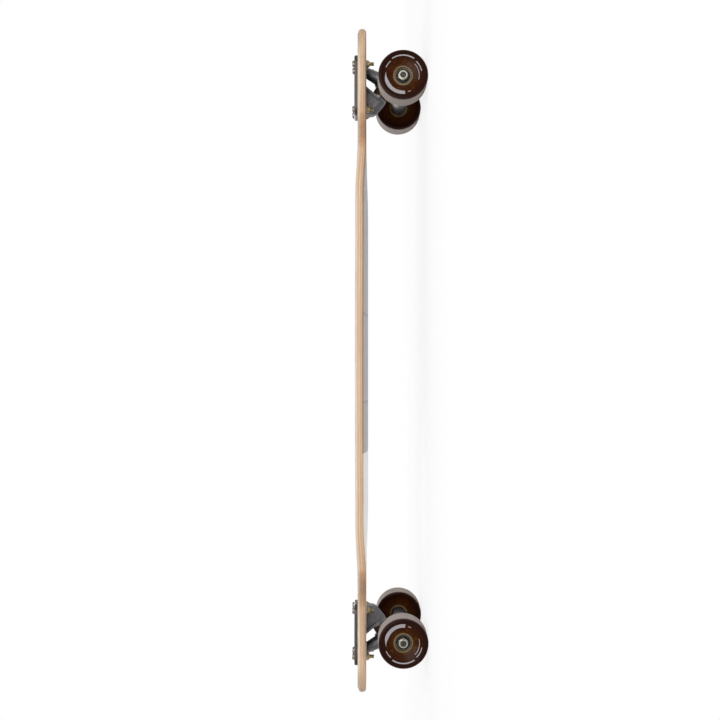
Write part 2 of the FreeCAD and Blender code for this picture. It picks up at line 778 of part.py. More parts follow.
pitch_radius = (bearing_diameter + bearing_bore) / 4
ball_radius = ball_diameter / 2
inner_shoulder = pitch_radius - ball_diameter * race_shoulder_share
outer_shoulder = pitch_radius + ball_diameter * race_shoulder_share
bearing_middle = (bearing_spacer_length + bearing_width) / 2


def in_both_bearings(shapes):
    """Shapes of one bearing, repeated in the inner and the outer bearing of a wheel."""
    return Part.makeCompound([
        moved(shape, 0, side * bearing_middle, 0) for side in (-1, 1) for shape in shapes])


def race_groove():
    """Groove that the balls run in."""
    groove = Part.makeTorus(pitch_radius, ball_radius + running_gap)
    groove.rotate(origin, along_x, 90)
    return groove


def make_outer_rings():
    """Outer bearing rings, with a step at each face for the shield."""
    half = bearing_width / 2
    seat = outer_shoulder + shield_seat_step
    body = ring(bearing_diameter / 2, outer_shoulder, -half, bearing_width, along_y)
    floor = half - shield_seat_depth
    steps = [
        Part.makeCylinder(seat, shield_seat_depth, along_y * (side * floor), along_y * side)
        for side in (-1, 1)
    ]
    return in_both_bearings([body.cut(steps + [race_groove()])])


def make_inner_rings():
    """Inner bearing rings, clamped on the axle."""
    body = ring(inner_shoulder, bearing_bore / 2, -bearing_width / 2, bearing_width, along_y)
    return in_both_bearings([body.cut(race_groove())])


def ball_places():
    """Middles of the balls of one bearing."""
    turns = [2 * math.pi * i / ball_count for i in range(ball_count)]
    return [Vector(pitch_radius * math.cos(turn), 0, pitch_radius * math.sin(turn)) for turn in turns]


def make_balls():
    """Steel balls of both bearings."""
    return in_both_bearings([Part.makeSphere(ball_radius, place) for place in ball_places()])


def make_cages():
    """Crown cages that keep the balls apart, open towards one face of the bearing."""
    inner = pitch_radius - cage_wall / 2
    crown = ring(inner + cage_wall, inner, -cage_back, cage_back + cage_front, along_y)
    pockets = [
        Part.makeCylinder(ball_radius + cage_pocket_gap, pitch_radius, place * cage_pocket_start_share, place)
        for place in ball_places()
    ]
    return in_both_bearings([crown.cut(pockets)])


def make_shields():
    """Thin steel shields that close both faces of both bearings."""
    floor = bearing_width / 2 - shield_seat_depth
    outer = outer_shoulder + shield_seat_step - press_gap
    inner = inner_shoulder + shield_gap
    plates = [ring(outer, inner, floor, shield_thickness, along_y)]
    plates.append(plates[0].mirror(origin, along_y))
    return in_both_bearings(plates)


def make_spacer():
    """Tube on the axle between the two inner rings."""
    bore = bearing_bore / 2
    half = bearing_spacer_length / 2
    return ring(bore + spacer_wall, bore, -half, bearing_spacer_length, along_y)


# The whole board
nodes = {"deck": make_deck(), "grip_sheet": make_grip()}

truck = {
    "baseplate": make_baseplate(),
    "pivot_cup": make_pivot_cup(),
    "kingpin": make_kingpin(),
    "kingpin_nut": make_kingpin_nut(),
    "boardside_bushing": make_boardside_bushing(),
    "roadside_bushing": make_roadside_bushing(),
    "bushing_washers": make_bushing_washers(),
    "mounting_bolts": make_mounting_bolts(),
    "mounting_nuts": make_mounting_nuts(),
    "hanger": make_hanger(),
    "axle": make_axle(),
    "axle_nuts": make_axle_nuts(),
    "speed_washers": make_speed_washers(),
}
for piece, shape in truck.items():
    for end, placed in zip(("front", "rear"), both_ends(shape)):
        nodes[end + "_" + piece] = placed

wheel = {
    "tyre": make_tyre(),
    "core": make_core(),
    "bearing_outer_rings": make_outer_rings(),
    "bearing_inner_rings": make_inner_rings(),
    "bearing_balls": make_balls(),
    "bearing_cages": make_cages(),
    "bearing_shields": make_shields(),
    "bearing_spacer": make_spacer(),
}
for piece, shape in wheel.items():
    left = moved(shape, axle_x, wheel_y, axle_z)
    right = moved(shape.transformed(half_turn.toMatrix()), axle_x, -wheel_y, axle_z)
    for side, built in (("left", left), ("right", right)):
        nodes["front_" + side + "_" + piece] = built
        other = "right" if side == "left" else "left"
        nodes["rear_" + other + "_" + piece] = built.transformed(half_turn.toMatrix())

os.makedirs("parts", exist_ok=True)
for name, shape in nodes.items():
    shape.exportStep("parts/" + name + ".step")
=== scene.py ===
import json
import math

import bpy
import numpy as np
from mathutils import Matrix, Vector


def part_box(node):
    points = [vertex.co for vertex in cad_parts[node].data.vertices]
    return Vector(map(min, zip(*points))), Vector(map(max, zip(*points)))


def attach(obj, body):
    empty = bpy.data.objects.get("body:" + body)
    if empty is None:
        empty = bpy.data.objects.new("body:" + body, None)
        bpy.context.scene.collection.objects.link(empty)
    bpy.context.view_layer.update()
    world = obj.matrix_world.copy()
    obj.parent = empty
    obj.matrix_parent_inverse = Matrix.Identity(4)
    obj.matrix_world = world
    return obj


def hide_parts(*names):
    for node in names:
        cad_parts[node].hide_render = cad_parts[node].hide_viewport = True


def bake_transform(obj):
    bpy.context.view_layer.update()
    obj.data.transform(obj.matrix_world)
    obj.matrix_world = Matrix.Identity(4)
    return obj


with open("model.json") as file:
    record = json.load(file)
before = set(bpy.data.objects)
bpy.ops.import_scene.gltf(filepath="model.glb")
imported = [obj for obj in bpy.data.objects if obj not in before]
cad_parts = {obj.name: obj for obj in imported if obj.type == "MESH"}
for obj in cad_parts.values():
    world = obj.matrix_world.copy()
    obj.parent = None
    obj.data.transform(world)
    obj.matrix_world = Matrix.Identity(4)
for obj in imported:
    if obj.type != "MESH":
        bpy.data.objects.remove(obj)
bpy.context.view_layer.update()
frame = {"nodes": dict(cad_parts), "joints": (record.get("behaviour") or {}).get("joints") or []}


# Deck
# Seven maple veneers, glued and pressed into a rocker and a concave, then cut out and sanded round.
# The plies show along its edge. The underside is sprayed in two plain greys, and the top stays bare wood.
nut_low, nut_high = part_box("front_mounting_nuts")
truck_middle = (nut_low.x + nut_high.x) / 2
deck_thickness = 0.011
deck_half_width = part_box("deck")[1].y
deck_top = nut_high.z + deck_thickness      # of the flat platforms at the trucks
rail_rise = 0.0043                          # of the edges above the platforms, halfway along
rocker_drop = 0.0029                        # of the middle below them
concave_span = (0.070, 0.177)               # where they fade in, from the bolt pattern inboard
rocker_span = (0.052, 0.201)
ply_count = 7
cross_plies = (2, 4)                        # veneers whose grain runs across the board
cross_ply_strength = 0.6
veneer_shift = 0.37                         # of the grain, from one veneer to the next
streak_stretch = (5, 160, 420)              # of the grain along, across and through the board
pore_stretch = (40, 900, 900)
fibre_stretch = (1400, 300, 900)            # of the cut fibres in the cross plies
glue_share = 0.10                           # of a ply's thickness, at each of its faces
glue_strength = 0.5
paint_reach = 0.0003                        # how far the underside's paint comes up the rounded edge
paint_fade = 0.0002                         # width of the paint's edge there
paint_ragged = 0.0006                       # how much that edge wanders
lower_shade_reach = 0.0022                        # painted shade: dark rim on the wood just above the underside's paint
lower_shade_strength = 0.8
lower_shade_by_pale_paint = 0.2                   # share of it beside the off-white paint
lower_shade_change_half = 0.001                   # half the width of the change to that share
top_highlight_reach = 0.0034                       # painted highlight: pale rim along the rounded top edge
top_highlight_strength = 0.55
greyer_rim_ends = (0.405, 0.44)                # past here both painted rims turn greyer
cut_lean = (0.0, 0.30)                      # lean of the edge at which darker end grain shows
cut_strength = 0.26
flare_start = (0.20, 0.30)                  # where the outline turns in, and the fibres begin to be cut
flare_end = (0.33, 0.38)                    # where it runs along the fibres again
# painted shade on the flares, on top of the end grain
flare_shade_strength = 0.22
paint_change = -0.126                       # where the grey underside turns off-white, towards the tail
paint_change_half = 0.0006                  # half the width of that change
pinstripes = (0.060, -0.058)
pinstripe_width = 0.0022
grain_relief = 0.00012


def tint(red, green, blue):
    """Colour as seen on a screen, 0 to 255, turned into the linear values that a shader takes."""
    share = np.array([red, green, blue]) / 255
    linear = np.where(share <= 0.04045, share / 12.92, ((share + 0.055) / 1.055) ** 2.4)
    return (*linear.tolist(), 1.0)


def surface_finish(name, colour, roughness, metallic=0.0):
    """New material with one Principled shader, returned with its node tree and that shader.

    Colour and roughness hold where no pattern is linked over them.
    """
    material = bpy.data.materials.new(name)
    material.use_nodes = True
    tree = material.node_tree
    shader = tree.nodes["Principled BSDF"]
    shader.inputs["Base Color"].default_value = colour
    shader.inputs["Roughness"].default_value = roughness
    shader.inputs["Metallic"].default_value = metallic
    return material, tree, shader


def add_node(tree, kind, *values, **settings):
    """Node with its settings. Its inputs, in order, take numbers or links; None leaves one as it is."""
    node = tree.nodes.new("ShaderNode" + kind)
    for name, value in settings.items():
        setattr(node, name, value)
    for socket, value in zip(node.inputs, values):
        if isinstance(value, bpy.types.NodeSocket):
            tree.links.new(value, socket)
        elif value is not None:
            socket.default_value = value
    return node


def calc(tree, operation, *values):
    """One step of arithmetic on sockets or numbers."""
    return add_node(tree, "Math", *values, operation=operation).outputs[0]


def ramp(tree, value, start, end, low=0.0, high=1.0, curve="SMOOTHSTEP"):
    """Value that goes from low to high while the input goes from start to end."""
    return add_node(tree, "MapRange", value, start, end, low, high, interpolation_type=curve).outputs[0]


def mix_colour(tree, share, first, second):
    """Second colour laid over the first by a share."""
    not_colours = [None] * 5
    mixed = add_node(tree, "Mix", share, *not_colours, first, second, data_type="RGBA", clamp_factor=True)
    return mixed.outputs[2]


def noise(tree, place, scale, detail=3.0, roughness=0.55):
    """Cloudy value about 0.5. The scale says how many cells lie on each unit of the place."""
    return add_node(tree, "TexNoise", place, None, scale, detail, roughness).outputs[0]


def own_place(tree, stretch=(1, 1, 1)):
    """The piece's own coordinates, in metres, stretched along each axis."""
    place = add_node(tree, "TexCoord").outputs["Object"]
    return add_node(tree, "Mapping", place, None, None, stretch).outputs[0]


def bump(tree, shader, height, distance):
    """Relief of the given depth, from a height between 0 and 1."""
    relief = tree.nodes.new("ShaderNodeBump")
    relief.inputs["Distance"].default_value = distance
    tree.links.new(height, relief.inputs["Height"])
    tree.links.new(relief.outputs[0], shader.inputs["Normal"])
    return relief


def wear(material, node_names):
    """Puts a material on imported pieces."""
    for name in node_names:
        slots = frame["nodes"][name].data.materials
        slots.clear()
        slots.append(material)


def deck_depth(tree):
    """Depth under the top of the deck, with x and y.

    The top is the platform, plus a parabola across that fades in from the trucks, minus the rocker.
    """
    x, y, z = add_node(tree, "SeparateXYZ", own_place(tree)).outputs
    inboard = calc(tree, "SUBTRACT", truck_middle, calc(tree, "ABSOLUTE", x))
    concave = ramp(tree, inboard, *concave_span, 0, rocker_drop + rail_rise, "SMOOTHERSTEP")
    rocker = ramp(tree, inboard, *rocker_span, 0, rocker_drop, "SMOOTHERSTEP")
    across = calc(tree, "DIVIDE", y, deck_half_width)
    bend = calc(tree, "MULTIPLY", concave, calc(tree, "MULTIPLY", across, across))
    bend = calc(tree, "SUBTRACT", bend, rocker)
    return calc(tree, "SUBTRACT", calc(tree, "ADD", bend, deck_top), z), x, y


def maple_grain(tree, x, y, depth, layer, light, dark):
    """Wood colour, and its streaks: long ones along the board, shifted so that no two veneers look alike.

    Broad clouds darken it further in places, and fine pores lie over both.
    """
    shifted = calc(tree, "ADD", y, calc(tree, "MULTIPLY", layer, veneer_shift))
    place = add_node(tree, "CombineXYZ", x, shifted, depth).outputs[0]
    along = add_node(tree, "Mapping", place, None, None, streak_stretch).outputs[0]
    fine = add_node(tree, "Mapping", place, None, None, pore_stretch).outputs[0]
    streaks = noise(tree, along, 3.0, 5.0, 0.62)
    pores = noise(tree, fine, 3.0, 2.0)
    clouds = noise(tree, place, 14.0, 2.0)
    colour = mix_colour(tree, ramp(tree, streaks, 0.34, 0.68), light, dark)
    colour = mix_colour(tree, ramp(tree, clouds, 0.35, 0.75, 0, 0.35), colour, dark)
    colour = mix_colour(tree, ramp(tree, pores, 0.60, 0.78, 0, 0.4), colour, tint(150, 112, 80))
    return colour, streaks


maple, tree, shader = surface_finish("pressed_maple", tint(216, 186, 152), 0.48)
depth, x, y = deck_depth(tree)
level = calc(tree, "DIVIDE", depth, deck_thickness / ply_count)
layer = calc(tree, "FLOOR", level)
within = calc(tree, "FRACT", level)
long_grain, streaks = maple_grain(tree, x, y, depth, layer, tint(203, 176, 149), tint(178, 146, 117))
crossing = calc(tree, "ADD", *[calc(tree, "COMPARE", layer, number, 0.1) for number in cross_plies])
fibres = noise(tree, own_place(tree, fibre_stretch), 1.0, 3.0)
end_grain = mix_colour(tree, fibres, tint(180, 147, 117), tint(156, 121, 92))
wood = mix_colour(tree, calc(tree, "MULTIPLY", crossing, cross_ply_strength), long_grain, end_grain)
from_glue = calc(tree, "MINIMUM", within, calc(tree, "SUBTRACT", 1, within))
glue = ramp(tree, from_glue, glue_share, 0, 0, glue_strength)
wood = mix_colour(tree, glue, wood, tint(138, 102, 74))

# Rims of the edge: painted shade below, painted highlight above, both greyer at nose and tail
from_middle = calc(tree, "ABSOLUTE", x)
mid_board = ramp(tree, from_middle, *greyer_rim_ends, 1, 0)
paint_start = deck_thickness - paint_reach
# Painted shade along the lower edge, just above the paint, weaker beside the off-white paint
lower_shade = ramp(tree, depth, paint_start - lower_shade_reach, paint_start, 0, lower_shade_strength)
change = (paint_change - lower_shade_change_half, paint_change + lower_shade_change_half)
lower_shade = calc(tree, "MULTIPLY", lower_shade, ramp(tree, x, *change, lower_shade_by_pale_paint, 1))
lower_shade_tone = mix_colour(tree, mid_board, tint(130, 114, 102), tint(96, 70, 52))
wood = mix_colour(tree, lower_shade, wood, lower_shade_tone)
# Painted highlight: a pale rim along the rounded top edge
top_highlight = ramp(tree, depth, top_highlight_reach, 0, 0, top_highlight_strength)
top_highlight_tone = mix_colour(tree, mid_board, tint(166, 146, 126), tint(236, 220, 200))
wood = mix_colour(tree, top_highlight, wood, top_highlight_tone)

# Flares: the edge is darker, partly end grain where the outline cuts across the fibres, partly painted
# shade along the flares
facing = add_node(tree, "NewGeometry").outputs["Normal"]
lean = calc(tree, "ABSOLUTE", add_node(tree, "SeparateXYZ", facing).outputs[0])
end_grain_and_shade = ramp(tree, lean, *cut_lean, 0, cut_strength)
end_grain_and_shade = calc(tree, "ADD", end_grain_and_shade, ramp(tree, from_middle, *flare_start, 0, flare_shade_strength))
end_grain_and_shade = calc(tree, "MULTIPLY", end_grain_and_shade, ramp(tree, from_middle, *flare_end, 1, 0))
wood = mix_colour(tree, end_grain_and_shade, wood, tint(148, 102, 66))

# Paint on the underside: grey, off-white towards the tail, with fine lines across
speckle = noise(tree, own_place(tree), 420.0, 2.0)
mottle = ramp(tree, speckle, 0.3, 0.7, 0, 0.25)
grey_paint = mix_colour(tree, mottle, tint(155, 153, 154), tint(140, 138, 140))
pale_paint = mix_colour(tree, mottle, tint(234, 236, 234), tint(224, 226, 223))
to_tail = ramp(tree, x, paint_change + paint_change_half, paint_change - paint_change_half)
paint = mix_colour(tree, to_tail, grey_paint, pale_paint)
for line_x in pinstripes:
    off_line = calc(tree, "ABSOLUTE", calc(tree, "SUBTRACT", x, line_x))
    line = ramp(tree, off_line, pinstripe_width, pinstripe_width / 2)
    paint = mix_colour(tree, line, paint, tint(120, 118, 122))
ragged = calc(tree, "MULTIPLY", calc(tree, "SUBTRACT", speckle, 0.5), paint_ragged)
painted = ramp(tree, calc(tree, "ADD", depth, ragged), paint_start - paint_fade, paint_start)
tree.links.new(mix_colour(tree, painted, wood, paint), shader.inputs["Base Color"])
satin = calc(tree, "ADD", ramp(tree, painted, 0, 1, 0.50, 0.34), calc(tree, "MULTIPLY", streaks, 0.10))
tree.links.new(satin, shader.inputs["Roughness"])
bump(tree, shader, calc(tree, "SUBTRACT", streaks, calc(tree, "MULTIPLY", glue, 0.6)), grain_relief)
wear(maple, ["deck"])


# Grip
# A clear sheet of grit, glued on the top of the deck, so the wood shows through it.
# Crushed glass in lacquer: a fine rough crust with glints, a little milky over the wood.
grit_size = 0.0009
grit_relief = 0.0004

grit, tree, shader = surface_finish("clear_grit", tint(206, 180, 148), 0.7)
depth, x, y = deck_depth(tree)
wood, streaks = maple_grain(tree, x, y, 0.0, 0.0, tint(214, 186, 152), tint(186, 150, 114))
crumbs = add_node(tree, "TexVoronoi", own_place(tree), None, 1 / grit_size)
from_crumb = crumbs.outputs["Distance"]
milky = ramp(tree, from_crumb, 0.1, 0.6, 0.42, 0.08)
crumb_colour = mix_colour(tree, milky, wood, tint(238, 232, 222))
grime = noise(tree, own_place(tree), 9.0, 4.0)
crumb_colour = mix_colour(tree, ramp(tree, grime, 0.45, 0.8, 0, 0.25), crumb_colour, tint(150, 126, 100))
tree.links.new(crumb_colour, shader.inputs["Base Color"])
tree.links.new(ramp(tree, from_crumb, 0.0, 0.5, 0.35, 0.85), shader.inputs["Roughness"])
bump(tree, shader, calc(tree, "SUBTRACT", 1, from_crumb), grit_relief)
wear(grit, ["grip_sheet"])


# Baseplates and hangers
# Cast aluminium, tumbled and coated a satin gunmetal grey. The baseplates are bolted on top of the deck,
# and the hangers turn in their pivot cups.
truck_ends = ("front", "rear")
casting_edge = 0.0007                       # roundness of the castings' edges, as light shows it
hollow_shade_reach = 0.006                        # how far from a wall the painted shade in hollows reaches
hollow_shade_strength = 0.75
tumbled_relief = 0.0001


def cast_metal(name, light, dark, above_deck_shade):
    """Satin cast metal: slow clouds of tone and a fine tumbled grain, with painted shade in hollows.

    Above the deck it is painted darker, as painted shade.
    """
    material, tree, shader = surface_finish(name, light, 0.42, 0.85)
    clouds = noise(tree, own_place(tree), 60.0, 4.0)
    grain = noise(tree, own_place(tree), 1900.0, 2.0)
    colour = mix_colour(tree, ramp(tree, clouds, 0.25, 0.78), light, dark)
    colour = mix_colour(tree, ramp(tree, grain, 0.5, 0.75, 0, 0.5), colour, dark)
    # Painted shade: what lies above the deck is darker
    height = add_node(tree, "SeparateXYZ", own_place(tree)).outputs[2]
    colour = mix_colour(tree, ramp(tree, height, deck_top - 0.001, deck_top), colour, above_deck_shade)
    # Painted shade in hollows, from ambient occlusion
    hollows = add_node(tree, "AmbientOcclusion", None, hollow_shade_reach, samples=8, only_local=True)
    hollow_shade = ramp(tree, hollows.outputs["AO"], 0.98, 0.60, 0, hollow_shade_strength)
    colour = mix_colour(tree, hollow_shade, colour, tint(34, 32, 32))
    tree.links.new(colour, shader.inputs["Base Color"])
    tree.links.new(ramp(tree, grain, 0.3, 0.7, 0.36, 0.52), shader.inputs["Roughness"])
    lumps = calc(tree, "ADD", calc(tree, "MULTIPLY", clouds, 0.5), grain)
    relief = bump(tree, shader, lumps, tumbled_relief)
    rounded = add_node(tree, "Bevel", casting_edge, samples=6).outputs[0]
    tree.links.new(rounded, relief.inputs["Normal"])
    return material


gunmetal = cast_metal("gunmetal_casting", tint(108, 106, 106), tint(80, 78, 79), tint(72, 66, 62))
wear(gunmetal, [end + piece for end in truck_ends for piece in ("_baseplate", "_hanger")])


# Pivot cups
# Moulded urethane cups, pressed into the baseplates, in which the hangers' pivots turn.
cup_relief = 0.0001
cup_black, tree, shader = surface_finish("cup_urethane", tint(38, 36, 35), 0.5)
moulding = noise(tree, own_place(tree), 1500.0)
cup_colour = mix_colour(tree, moulding, tint(46, 44, 43), tint(28, 27, 26))
tree.links.new(cup_colour, shader.inputs["Base Color"])
bump(tree, shader, moulding, cup_relief)
wear(cup_black, [end + "_pivot_cup" for end in truck_ends])


# Kingpins, kingpin nuts and bushing washers
# Zinc-plated steel: a stud pressed into each baseplate, which carries the bushings and the hanger between
# washers, held by a lock nut.
plating_relief = 0.00004


def plated_steel(name, bright, dull, roughness):
    """Plated steel: faint mottling of the plating and fine handling marks."""
    material, tree, shader = surface_finish(name, bright, roughness, 1.0)
    mottle = noise(tree, own_place(tree), 900.0, 4.0)
    marks = noise(tree, own_place(tree, (1, 6, 1)), 900.0, 2.0)
    colour = mix_colour(tree, ramp(tree, mottle, 0.35, 0.7), bright, dull)
    tree.links.new(colour, shader.inputs["Base Color"])
    handled = ramp(tree, marks, 0.3, 0.7, roughness * 0.8, roughness * 1.4)
    tree.links.new(handled, shader.inputs["Roughness"])
    bump(tree, shader, marks, plating_relief)
    return material


bolt_steel = plated_steel("bolt_steel", tint(150, 147, 144), tint(118, 115, 113), 0.32)
kingpin_pieces = ("_kingpin", "_kingpin_nut", "_bushing_washers")
wear(bolt_steel, [end + piece for end in truck_ends for piece in kingpin_pieces])


# Bushings
# Poured urethane, amber brown: a barrel towards the board and a cone towards the road, on the kingpin.
# Each is squeezed between a baseplate or washer, which stands still, and the hanger's ring, which turns.
bushing_bore = 0.0051
bushing_radius = 0.0120                     # halfway up the bulge
bushing_rim = 0.0108                        # radius at the ends
bushing_rim_chamfer = 0.0005
bushing_cone_share = 0.82                   # of that radius, at the cone's narrow end
ring_web_half = 0.0030                      # half the thickness of the hanger's ring
barrel_height = 0.0133
cone_height = 0.0124
bushing_steps = 96                          # points round a bushing
bushing_rows = 25                           # points up its wall
bushing_relief = 0.00006
sharp_edge = math.radians(35)               # between faces that meet in an edge


def bushing_profile(low, high, low_scale, high_scale):
    """Outline (radius, height) of a bushing, anticlockwise: flat ends, small chamfers and a bulged wall.

    The wall bulges by a sine from rim to rim, and its size changes evenly from the low to the high end.
    """
    share = np.linspace(0, 1, bushing_rows)
    scale = low_scale + (high_scale - low_scale) * share
    bulge = (bushing_radius - bushing_rim) * np.sin(math.pi * share)
    wall = np.stack([
        bushing_rim * scale + bulge,
        low + bushing_rim_chamfer + (high - low - 2 * bushing_rim_chamfer) * share,
    ], axis=1)
    foot = [[bushing_bore, low], [bushing_rim * low_scale - bushing_rim_chamfer, low]]
    head = [[bushing_rim * high_scale - bushing_rim_chamfer, high], [bushing_bore, high]]
    return np.vstack([foot, wall, head])


def turned(profile, steps):
    """Outline carried once round Z: each point is (radius cos a, radius sin a, height)."""
    angle = np.arange(steps) * 2 * math.pi / steps
    radius = profile[:, :1]
    height = np.broadcast_to(profile[:, 1:], (len(profile), steps))
    return np.stack([radius * np.cos(angle), radius * np.sin(angle), height], axis=-1)


def skin(name, grid):
    """Mesh object over a grid of points that goes round, both by its columns and by its rows."""
    rows, columns = grid.shape[:2]
    index = np.arange(rows * columns).reshape(rows, columns)
    index = np.hstack([index, index[:, :1]])
    index = np.vstack([index, index[:1]])
    quads = np.stack([index[:-1, :-1], index[:-1, 1:], index[1:, 1:], index[1:, :-1]], axis=-1)
    mesh = bpy.data.meshes.new(name)
    mesh.from_pydata(grid.reshape(-1, 3).tolist(), [], quads.reshape(-1, 4).tolist())
    mesh.shade_smooth()
    mesh.set_sharp_from_angle(angle=sharp_edge)
    piece = bpy.data.objects.new(name, mesh)
    bpy.context.scene.collection.objects.link(piece)
    return piece


def steering_frame(end):
    """Matrix of a truck's steering: X up the pivot axis, Z up the kingpin, origin in the hanger's ring."""
    joint = next(joint for joint in frame["joints"] if joint["name"] == end + "_steer")
    pivot = Vector(joint["axis"])
    across = Vector((0, pivot.x / abs(pivot.x), 0))
    turn = Matrix((pivot, across, pivot.cross(across))).transposed().to_4x4()
    return Matrix.Translation(joint["pos_m"]) @ turn


amber, tree, shader = surface_finish("bushing_urethane", tint(60, 36, 22), 0.32)
cloud = ramp(tree, noise(tree, own_place(tree), 90.0, 3.0), 0.3, 0.7)
tree.links.new(mix_colour(tree, cloud, tint(72, 46, 28), tint(46, 28, 18)), shader.inputs["Base Color"])
shader.inputs["Specular IOR Level"].default_value = 0.3
shader.inputs["Subsurface Weight"].default_value = 0.2
shader.inputs["Subsurface Radius"].default_value = (0.004, 0.0016, 0.0006)
bump(tree, shader, noise(tree, own_place(tree), 700.0), bushing_relief)
for end in truck_ends:
    place = steering_frame(end)
    shapes = {
        "_boardside_bushing": (ring_web_half, ring_web_half + barrel_height, 1, 1),
        "_roadside_bushing": (-ring_web_half - cone_height, -ring_web_half, bushing_cone_share, 1),
    }
    for piece, (low, high, low_scale, high_scale) in shapes.items():
        profile = bushing_profile(low, high, low_scale, high_scale)
        bushing = skin(end + piece + "_urethane", turned(profile, bushing_steps))
        bushing.data.transform(place)
        bushing.data.materials.append(amber)
        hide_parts(end + piece)
        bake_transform(bushing)


# Mounting bolts and nuts
# Machine screws with round heads and hexagon sockets hold each baseplate down on the deck.
# Their lock nuts under the deck are plated yellow, and the threaded tips stand out below them.
bolt_radius = 0.00238
bolt_head_radius = 0.0046
bolt_pitch = 0.0008
thread_steps = 32                           # points round a thread
thread_rows = 10                            # points along each turn of it
thread_core = 0.8                           # of the bolt's radius, the unseen inside of a thread
dark_steel = plated_steel("dark_steel", tint(136, 130, 126), tint(114, 109, 106), 0.40)
wear(dark_steel, [end + "_mounting_bolts" for end in truck_ends])
yellow_zinc = plated_steel("yellow_zinc", tint(168, 152, 114), tint(118, 102, 70), 0.30)
wear(yellow_zinc, [end + "_mounting_nuts" for end in truck_ends])


def thread(radius, pitch, low, high):
    """Screw thread round Z: the radius swings by a triangle wave that climbs one pitch with each turn.

    It is a third of a pitch deep, and both ends run out to the bolt's own radius. A first and a last row
    at thread_core of that radius close it to a sleeve.
    """
    rows = int((high - low) / pitch * thread_rows)
    height = np.linspace(low, high, rows)[:, None]
    angle = np.arange(thread_steps)[None, :] * 2 * math.pi / thread_steps
    phase = (height / pitch - angle / (2 * math.pi)) % 1
    crest = 1 - np.abs(2 * phase - 1)
    fade = np.clip(np.minimum(height - low, high - height) / pitch * 2, 0, 1)
    reach = radius + pitch / 3 * (crest * fade - 0.1)
    inner = np.full((1, thread_steps), radius * thread_core)
    reach = np.vstack([inner, reach, inner])
    rise = np.broadcast_to(np.vstack([height[:1], height, height[-1:]]), reach.shape)
    return np.stack([reach * np.cos(angle), reach * np.sin(angle), rise], axis=-1)


for end in truck_ends:
    low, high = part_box(end + "_mounting_bolts")
    nuts_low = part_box(end + "_mounting_nuts")[0].z
    tip = thread(bolt_radius, bolt_pitch, low.z, nuts_low)
    for x in (low.x + bolt_head_radius, high.x - bolt_head_radius):
        for y in (low.y + bolt_head_radius, high.y - bolt_head_radius):
            side = "_left" if y > 0 else "_right"
            row = "_outer" if abs(x) > truck_middle else "_inner"
            screw = skin(end + side + row + "_bolt_thread", tip + np.array([x, y, 0]))
            screw.data.materials.append(yellow_zinc)
            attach(screw, "board")

# Threads on the kingpins' tips, past their nuts
kingpin_radius = 0.00476
kingpin_pitch = 0.00106
kingpin_tip = (-0.0274, -0.0256)            # along the kingpin, from the middle of the hanger's ring
for end in truck_ends:
    screw = skin(end + "_kingpin_thread", thread(kingpin_radius, kingpin_pitch, *kingpin_tip))
    screw.data.transform(steering_frame(end))
    screw.data.materials.append(bolt_steel)
    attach(screw, "board")


# Axles, axle nuts and speed washers
# A steel rod is cast into each hanger. Bright zinc lock nuts hold the wheels on, between thin washers.
bright_zinc = plated_steel("bright_zinc", tint(166, 164, 152), tint(124, 122, 112), 0.24)
wear(bright_zinc, [end + piece for end in truck_ends for piece in ("_axle_nuts", "_speed_washers")])
axle_steel = plated_steel("axle_steel", tint(62, 62, 60), tint(46, 46, 46), 0.42)
wear(axle_steel, [end + "_axle" for end in truck_ends])


# Wheels
# Urethane poured round a stiff core: a dark brown that lets light through, amber where it is thin.
# The faces are satin from the mould, the lips scuffed and with a painted highlight, the tread ground pale.
# The outer face has a print.
wheel_corners = ("front_left", "front_right", "rear_left", "rear_right")
axle_low, axle_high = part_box("front_axle")
axle_x = (axle_low.x + axle_high.x) / 2
axle_z = (axle_low.z + axle_high.z) / 2
tyre_low, tyre_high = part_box("front_left_tyre")
wheel_y = (tyre_low.y + tyre_high.y) / 2
wheel_radius = (tyre_high.z - tyre_low.z) / 2
wheel_half_width = (tyre_high.y - tyre_low.y) / 2
hub_fade = (0.0114, 0.019)                  # radii between which the hub's amber turns brown
glow_fade = (0.025, 0.016)                  # radii between which streaks of amber come up
rim_fade = (0.020, 0.029)                   # radii between which the brown turns darkest
swirl_reach = 0.010                         # how far in and out these borders wander
core_ring_highlight = (0.0116, 0.0125)                 # painted highlight: a pale ring on the core's end
lip_radius = 0.0032
lip_pale_reach = 0.0014                        # how far in from the tread the lips are paler: scuffs, and a painted highlight on their rounding
lip_pale_strength = 0.3
tread_relief = 0.00015
core_relief = 0.00005
print_edge = 0.00006                        # half the width of an arc's blurred edge
print_end = 0.01                            # the same at its ends, in radians
tapered_width = 0.002                       # arcs wider than this are tapered at their start
print_start = (0.010, 0.011)                # from the wheel's middle outwards, where the outer face begins
print_arcs = (                              # first and last angle, radius and width of each printed arc
    (80, 186, 0.0229, 0.0050),
    (42, 66, 0.0246, 0.0011),
    (-78, -44, 0.0248, 0.0011),
    (-106, -46, 0.0212, 0.0007),
    (-34, 34, 0.0259, 0.0015),
    (196, 206, 0.0228, 0.0010),
)


def about_axle(tree):
    """Radius and angle about the wheel's own axle, and the distance from the wheel's middle outwards."""
    x, y, z = add_node(tree, "SeparateXYZ", own_place(tree)).outputs
    ahead = calc(tree, "SUBTRACT", calc(tree, "ABSOLUTE", x), axle_x)
    above = calc(tree, "SUBTRACT", z, axle_z)
    outwards = calc(tree, "SUBTRACT", calc(tree, "ABSOLUTE", y), wheel_y)
    ahead_square = calc(tree, "MULTIPLY", ahead, ahead)
    above_square = calc(tree, "MULTIPLY", above, above)
    radius = calc(tree, "SQRT", calc(tree, "ADD", ahead_square, above_square))
    return radius, calc(tree, "ARCTAN2", above, ahead), outwards


def between(tree, value, low, high, soft):
    """1 between low and high, with soft ends."""
    rise = ramp(tree, value, low - soft, low + soft)
    fall = ramp(tree, value, high + soft, high - soft)
    return calc(tree, "MULTIPLY", rise, fall)


